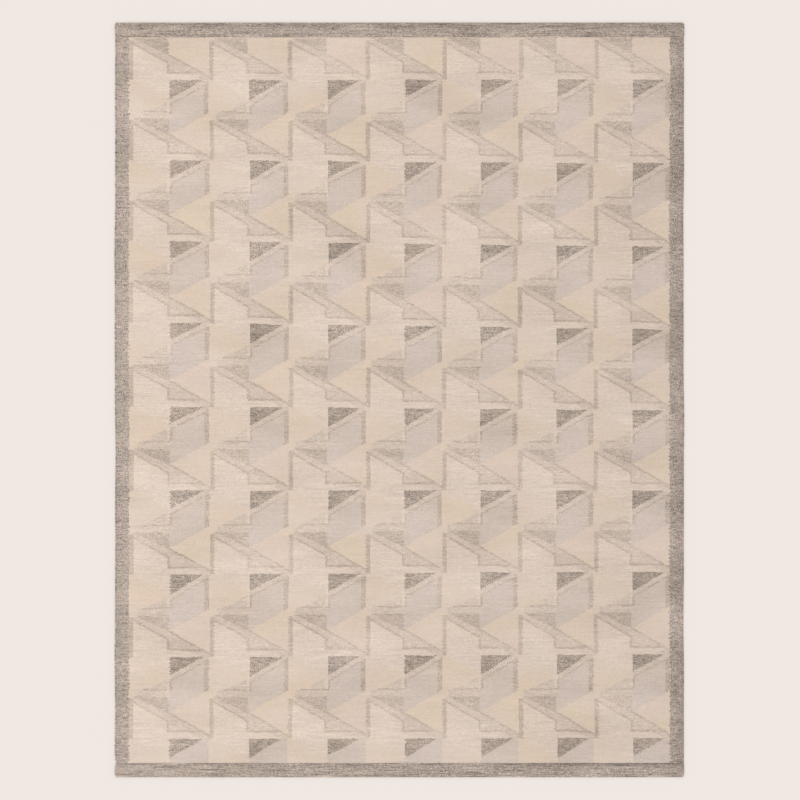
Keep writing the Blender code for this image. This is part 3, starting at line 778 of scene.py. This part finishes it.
# Each wool: its name, the display colours at the two ends of its dye lots, then speckle, streak,
# stripe and drift, and for some the shades and the seam darkening
WOOLS = {
    CREAM: ("cream_wool", (222.5, 205.5, 191), (217, 199, 183.5), 0.20, 0.20, 0.17, 0.10),
    PEACH: ("peach_wool", (221, 203, 188), (217.5, 197.5, 178), 0.13, 0.12, 0.08, 0.06),
    SAND: ("sand_wool", (221, 201, 186.5), (217.5, 198.5, 177.5), 0.15, 0.12, 0.08, 0.07),
    LILAC: ("lilac_wool", (211.6, 195.6, 184.6), (205.6, 189.1, 177.1), 0.19, 0.19, 0.12, 0.10),
    GREIGE: ("greige_wool", (216, 199, 185), (207, 190, 175), 0.32, 0.36, 0.12, 0.10),
    DARK: ("charcoal_wool", (182.8, 167.3, 154.5), (166.8, 151.8, 138.5), 0.92, 1.10, 0.28, 0.28),
    TAUPE: ("taupe_wool", (202.4, 185, 171), (191.4, 174, 159), 0.50, 0.55, 0.15, 0.14),
    OUTLINE: ("outline_taupe_wool", (206, 187.7, 172.4), (192.5, 173.7, 158.4), 0.42, 0.48, 0.15, 0.16),
    WEDGE: ("wedge_taupe_wool", (203, 186, 172), (191, 174, 160), 0.55, 0.56, 0.14, 0.14),
    # painted light from the left: both borders are one grey wool, given lighter colours on the left and
    # darker ones on the right
    BORDER_LEFT: (
        "left_border_grey_wool", (182.5, 166, 156.3), (172.7, 160, 147.5), 0.90, 1.06, 0.18, 0.16, BORDER_DARKER_OUTWARD
    ),
    BORDER_RIGHT: (
        "right_border_grey_wool", (177, 161, 151), (163, 148.8, 137.8), 0.96, 1.20, 0.20, 0.20, BORDER_DARKER_OUTWARD
    ),
}
TOP_HEM = (
    "top_hem_grey_wool", (178, 163.5, 151), (173, 157.5, 145), 1.60, 0.70, 0.80, 0.16, FOLD_PAINTED_SHADE
)
BOTTOM_HEM = (
    "bottom_hem_grey_wool", (180, 165, 154), (172, 157, 145), 1.60, 0.66, 0.95, 0.16, SEAM_SHADE_AND_DARK_PICKS, 0.30
)


def wool_of(recipe):
    """The material of one line of the table."""
    name, one, other, *tones = recipe
    return wool(name, [[WOOL_GAIN * c for c in linear(*rgb)] for rgb in (one, other)], *tones)


def settled_cord(name, side):
    """The cord inside a selvedge: three strands that wind round each other, in the cloth's edge."""
    stations = round((FIELD_TOP - FIELD_BOTTOM) / CORD_STEP)
    station, turn = np.meshgrid(np.arange(stations + 1), np.arange(CORD_SIDES), indexing="ij")
    y = FIELD_BOTTOM + GAP + station * (FIELD_TOP - FIELD_BOTTOM - 2 * GAP) / stations
    angle = 2 * np.pi * turn / CORD_SIDES
    wound = CORD_STRANDS * (angle - 2 * np.pi * y / CORD_TWIST)
    radius = CORD_RADIUS * (1 - STRAND_DEPTH + STRAND_DEPTH * np.cos(wound))
    middle = side * ((RUG_RIGHT - RUG_LEFT) / 2 - SELVEDGE / 2)
    x, y, _ = settled(np.full(y.shape, middle), y, 0 * y, False)
    z = SELVEDGE / 2 + radius * np.sin(angle)
    points = np.stack([x + radius * np.cos(angle), y, z], -1).reshape(-1, 3)
    rings = [[s * CORD_SIDES + k for k in range(CORD_SIDES)] for s in range(stations + 1)]
    faces = [
        [a[k], b[k], b[(k + 1) % CORD_SIDES], a[(k + 1) % CORD_SIDES]]
        for a, b in zip(rings, rings[1:])
        for k in range(CORD_SIDES)
    ]
    faces += [rings[0], rings[-1][::-1]]
    mesh, _ = new_mesh(name, points, faces, np.zeros(len(faces)), np.ones(len(faces)))
    return bpy.data.objects.new(name, mesh)


def build_rug():
    """Every piece of the rug, and the materials of the CAD's own nodes that are kept."""
    materials = {kind: wool_of(recipe) for kind, recipe in WOOLS.items()}
    cotton = twisted("warp_cotton", (224, 216, 198), 0.0030, 0.5, 0.0003)
    thread = twisted("sewing_thread", (176, 162, 148), 0.0012, 0.6, 0.0002)
    cloth = Cloth()
    cloth.weave()
    stands_for = {row: ["outline_wool", f"outline_wefts_row_{row + 1}"] for row in range(ROWS)}
    stands_for[LEFT_PIECE] = ["border_wool", "left_border_wefts"]
    stands_for[RIGHT_PIECE] = ["border_wool", "right_border_wefts"]
    stands_for[GROUND_PIECE] = ["field_wool", "field_wefts"]
    for piece in PIECE_NAMES:
        slot, *nodes = stands_for.get(piece, ["field_wool"])
        stood(cloth.made(piece, materials), nodes)
    for side, word in ((-1, "left"), (1, "right")):
        cord = stood(settled_cord(f"{word}_edge_cord", side), [f"{word}_selvedge_cord"])
        cord.data.materials.append(cotton)
    hems = [
        stood(hem("top_hem_wool", 1, wool_of(TOP_HEM)), ["top_hem_band"]),
        stood(hem("bottom_hem_wool", -1, wool_of(BOTTOM_HEM)), ["bottom_hem_band"]),
    ]
    for name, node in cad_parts.items():
        if "warps" in name or "hem_thread" in name:
            node.data.materials.clear()
            node.data.materials.append(cotton if "warps" in name else thread)


def stage():
    """A plain pale floor, wide enough that its edge is far from every view."""
    turns = [2 * math.pi * k / FLOOR_SIDES for k in range(FLOOR_SIDES)]
    rim = [(FLOOR_RADIUS * math.cos(t), FLOOR_RADIUS * math.sin(t), 0) for t in turns]
    mesh = bpy.data.meshes.new("floor")
    mesh.from_pydata(rim, [], [tuple(range(len(rim)))])
    floor = bpy.data.objects.new("floor", mesh)
    bpy.context.collection.objects.link(floor)
    n = Nodes("floor_paint")
    x, y = n.parts(n.node("ShaderNodeTexCoord", output=OBJECT_PLACE))
    grain = n.noise(n.stretched(x, 60.0, y, 60.0), detail=3.0)
    n.put(n.shader.inputs["Roughness"], n.ramp(grain, 0.0, 1.0, 0.85, 0.95))
    paint = [FLOOR_GAIN * c for c in linear(*FLOOR_COLOUR)]
    n.shader.inputs["Base Color"].default_value = (*paint, 1)
    n.shader.inputs["Specular IOR Level"].default_value = 0.0
    mesh.materials.append(n.material)


def soft_key():
    """The key light: even over the whole floor, and soft, as from a wide diffuser far away."""
    data = bpy.data.lights.new("key", "SUN")
    data.energy, data.angle = KEY, math.radians(KEY_SPREAD)
    lamp = bpy.data.objects.new("key", data)
    lamp.rotation_mode = "QUATERNION"
    lamp.rotation_quaternion = Vector(KEY_WAY).to_track_quat("-Z", "Y")
    bpy.context.collection.objects.link(lamp)


def light_and_camera():
    """An even white surround, the key, and a camera straight above the rug."""
    scene = bpy.context.scene
    world = bpy.data.worlds.new("studio")
    world.use_nodes = True
    world.node_tree.nodes["Background"].inputs["Color"].default_value = (1, 1, 1, 1)
    world.node_tree.nodes["Background"].inputs["Strength"].default_value = WORLD
    scene.world = world
    soft_key()
    scene.view_settings.view_transform = "Standard"
    lens = bpy.data.cameras.new("camera")
    lens.lens, lens.sensor_width = LENS, SENSOR
    camera = bpy.data.objects.new("camera", lens)
    camera.location = (*VIEW_MIDDLE, VIEW_WIDTH * LENS / SENSOR + HEM_HEIGHT)
    lens.clip_end = 1000.0  # past the floor's edge
    bpy.context.collection.objects.link(camera)
    scene.camera = camera


build_rug()
stage()
light_and_camera()
